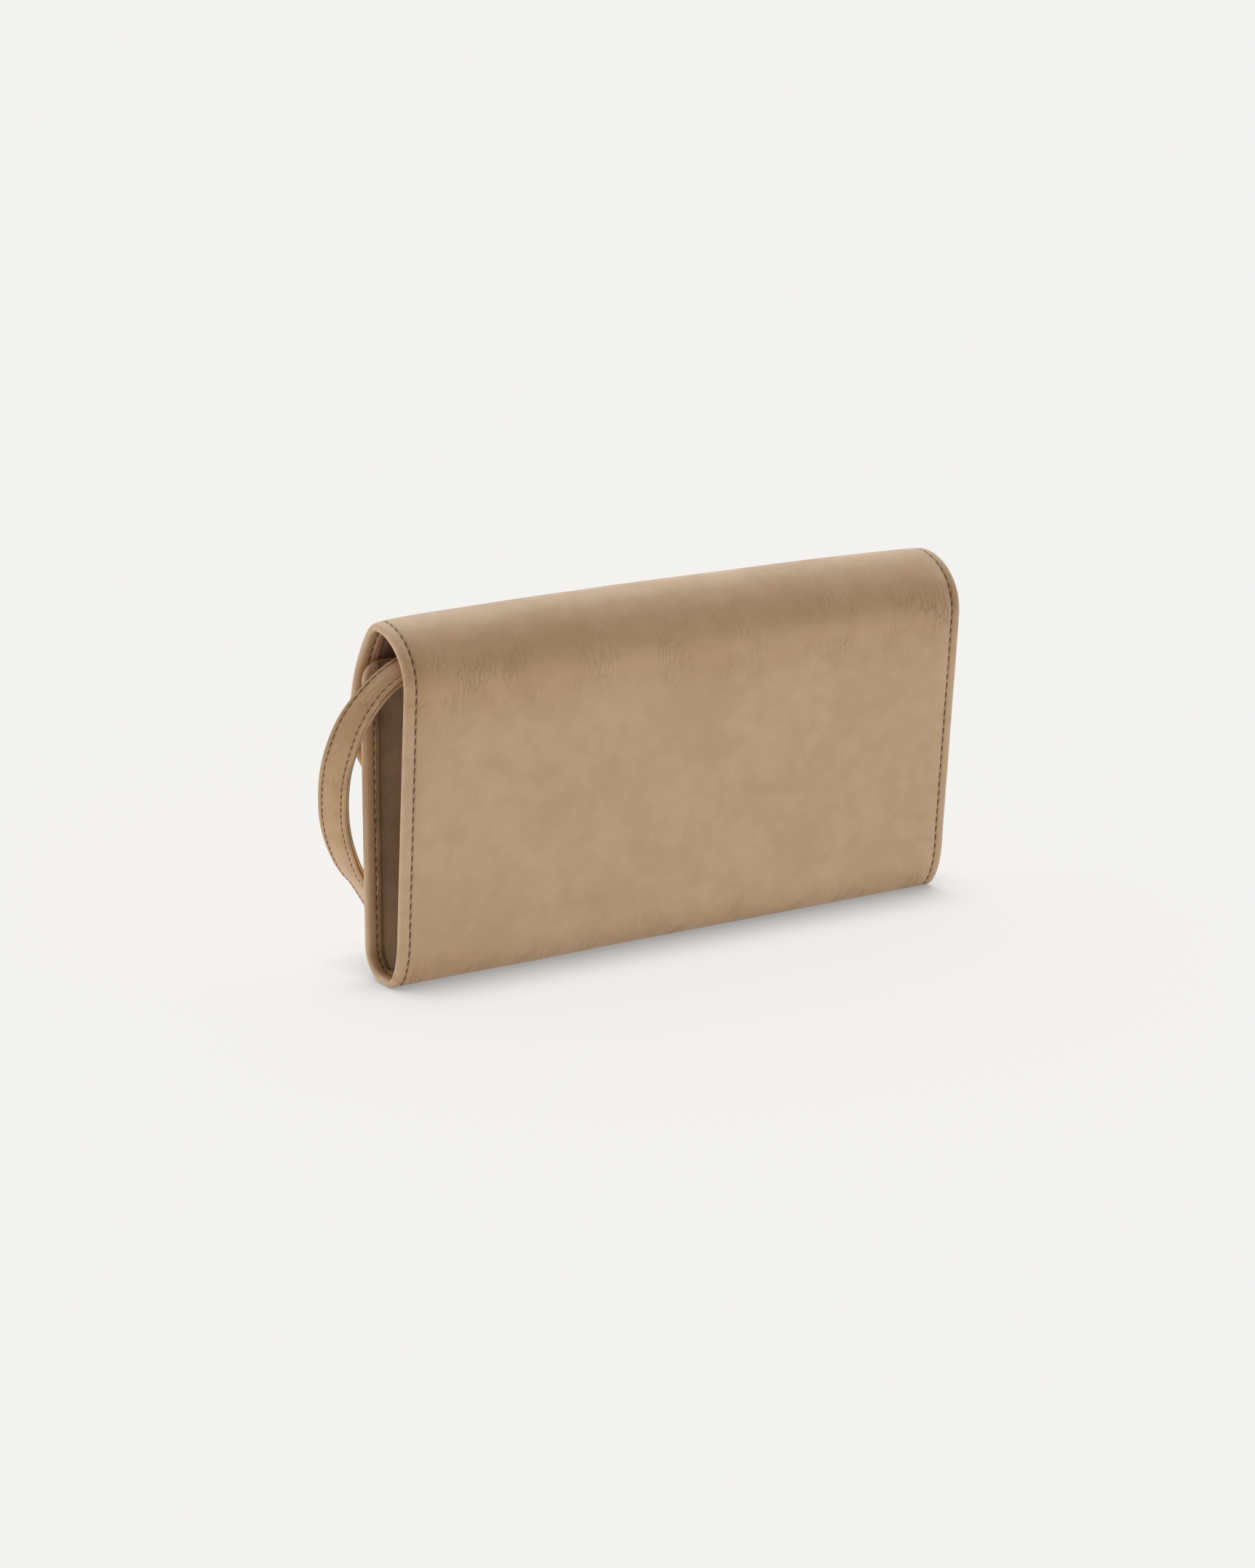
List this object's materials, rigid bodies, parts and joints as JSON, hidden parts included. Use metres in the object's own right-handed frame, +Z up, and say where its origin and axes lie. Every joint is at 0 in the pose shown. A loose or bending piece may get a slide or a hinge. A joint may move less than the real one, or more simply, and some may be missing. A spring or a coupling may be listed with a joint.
{
  "type": "long wallet",
  "caption": "Long folded leather wallet with an envelope flap, gusseted ends, card pockets, a zipped coin divider and a wrist strap.",
  "frame": {"origin": "middle of the flat strip of the folded base that the wallet stands on", "axes": "+Z up, +X along the wallet towards the strap's end, +Y out of the plain back panel, the flap closes over the front on -Y"},
  "size_m": [0.2121, 0.052, 0.1105],
  "materials": {
    "calf": "smooth glossy calf, lightly creased",
    "gusset_calf": "smooth calf in two folds",
    "lining_calf": "matt pinkish brown lining leather",
    "zip_tape": "woven zip tape",
    "fittings": "pale polished metal"
  },
  "bodies": {
    "back": {"base_fold": "calf", "base_lining": "lining_calf", "back_panel": "calf", "back_lining": "lining_calf", "card_pocket_left_1": "calf", "card_pocket_left_2": "calf", "card_pocket_left_3": "calf", "card_pocket_right_1": "calf", "card_pocket_right_2": "calf", "card_pocket_right_3": "calf", "gusset_back_left": "gusset_calf", "gusset_back_right": "gusset_calf", "strap_tab": "calf", "strap_root": "calf"},
    "front": {"front_panel": "calf", "front_lining": "lining_calf", "gusset_front_left": "gusset_calf", "gusset_front_right": "gusset_calf", "snap_socket": "fittings"},
    "top_rear": {"top_fold_rear": "calf", "top_fold_lining_rear": "lining_calf"},
    "top_front": {"top_fold_front": "calf", "top_fold_lining_front": "lining_calf"},
    "flap": {"flap": "calf", "flap_lining": "lining_calf", "snap_stud": "fittings"},
    "divider": {"coin_pocket_front": "calf", "coin_pocket_back": "calf", "coin_pocket_hem": "lining_calf", "zip_tape_front": "zip_tape", "zip_tape_back": "zip_tape", "zip_teeth": "fittings"},
    "slider": {"zip_slider": "fittings"},
    "pull": {"zip_pull": "fittings"},
    "strap": {"wrist_strap": "calf"}
  },
  "joints": [
    {"name": "flap_fold_rear", "type": "hinge", "parent": "back", "child": "top_rear", "pos_m": [0, 0.01373, 0.10163], "axis": [-1, 0, 0], "range_deg": [0, 60]},
    {"name": "flap_fold_top", "type": "hinge", "parent": "top_rear", "child": "top_front", "pos_m": [0, -0.002, 0.1105], "axis": [-1, 0, 0], "range_deg": [0, 60]},
    {"name": "flap_fold_front", "type": "hinge", "parent": "top_front", "child": "flap", "pos_m": [0, -0.014, 0.097], "axis": [-1, 0, 0], "range_deg": [0, 60]},
    {"name": "front_tilt", "type": "hinge", "parent": "back", "child": "front", "pos_m": [0, -0.00937, 0.00293], "axis": [1, 0, 0], "range_deg": [0, 5.5]},
    {"name": "divider_tilt", "type": "hinge", "parent": "back", "child": "divider", "pos_m": [0, -0.0035, 0.012], "axis": [1, 0, 0], "range_deg": [0, 2.75]},
    {"name": "zip_slide", "type": "slide", "parent": "divider", "child": "slider", "axis": [1, 0, 0], "range_m": [0, 0.144]},
    {"name": "pull_swing", "type": "hinge", "parent": "slider", "child": "pull", "pos_m": [-0.0714, -0.0035, 0.09795], "axis": [0, -1, 0], "range_deg": [0, 140]},
    {"name": "strap_swing", "type": "hinge", "parent": "back", "child": "strap", "pos_m": [0.10171, 0.00421, 0.09403], "axis": [0, -0.922, 0.3872], "range_deg": [0, 80]}
  ],
  "couplings": [
    {"joint": "flap_fold_top", "follows": "flap_fold_rear", "ratio": 1},
    {"joint": "flap_fold_front", "follows": "flap_fold_rear", "ratio": 1},
    {"joint": "front_tilt", "follows": "flap_fold_rear", "ratio": 0.0916},
    {"joint": "divider_tilt", "follows": "flap_fold_rear", "ratio": 0.0458}
  ]
}
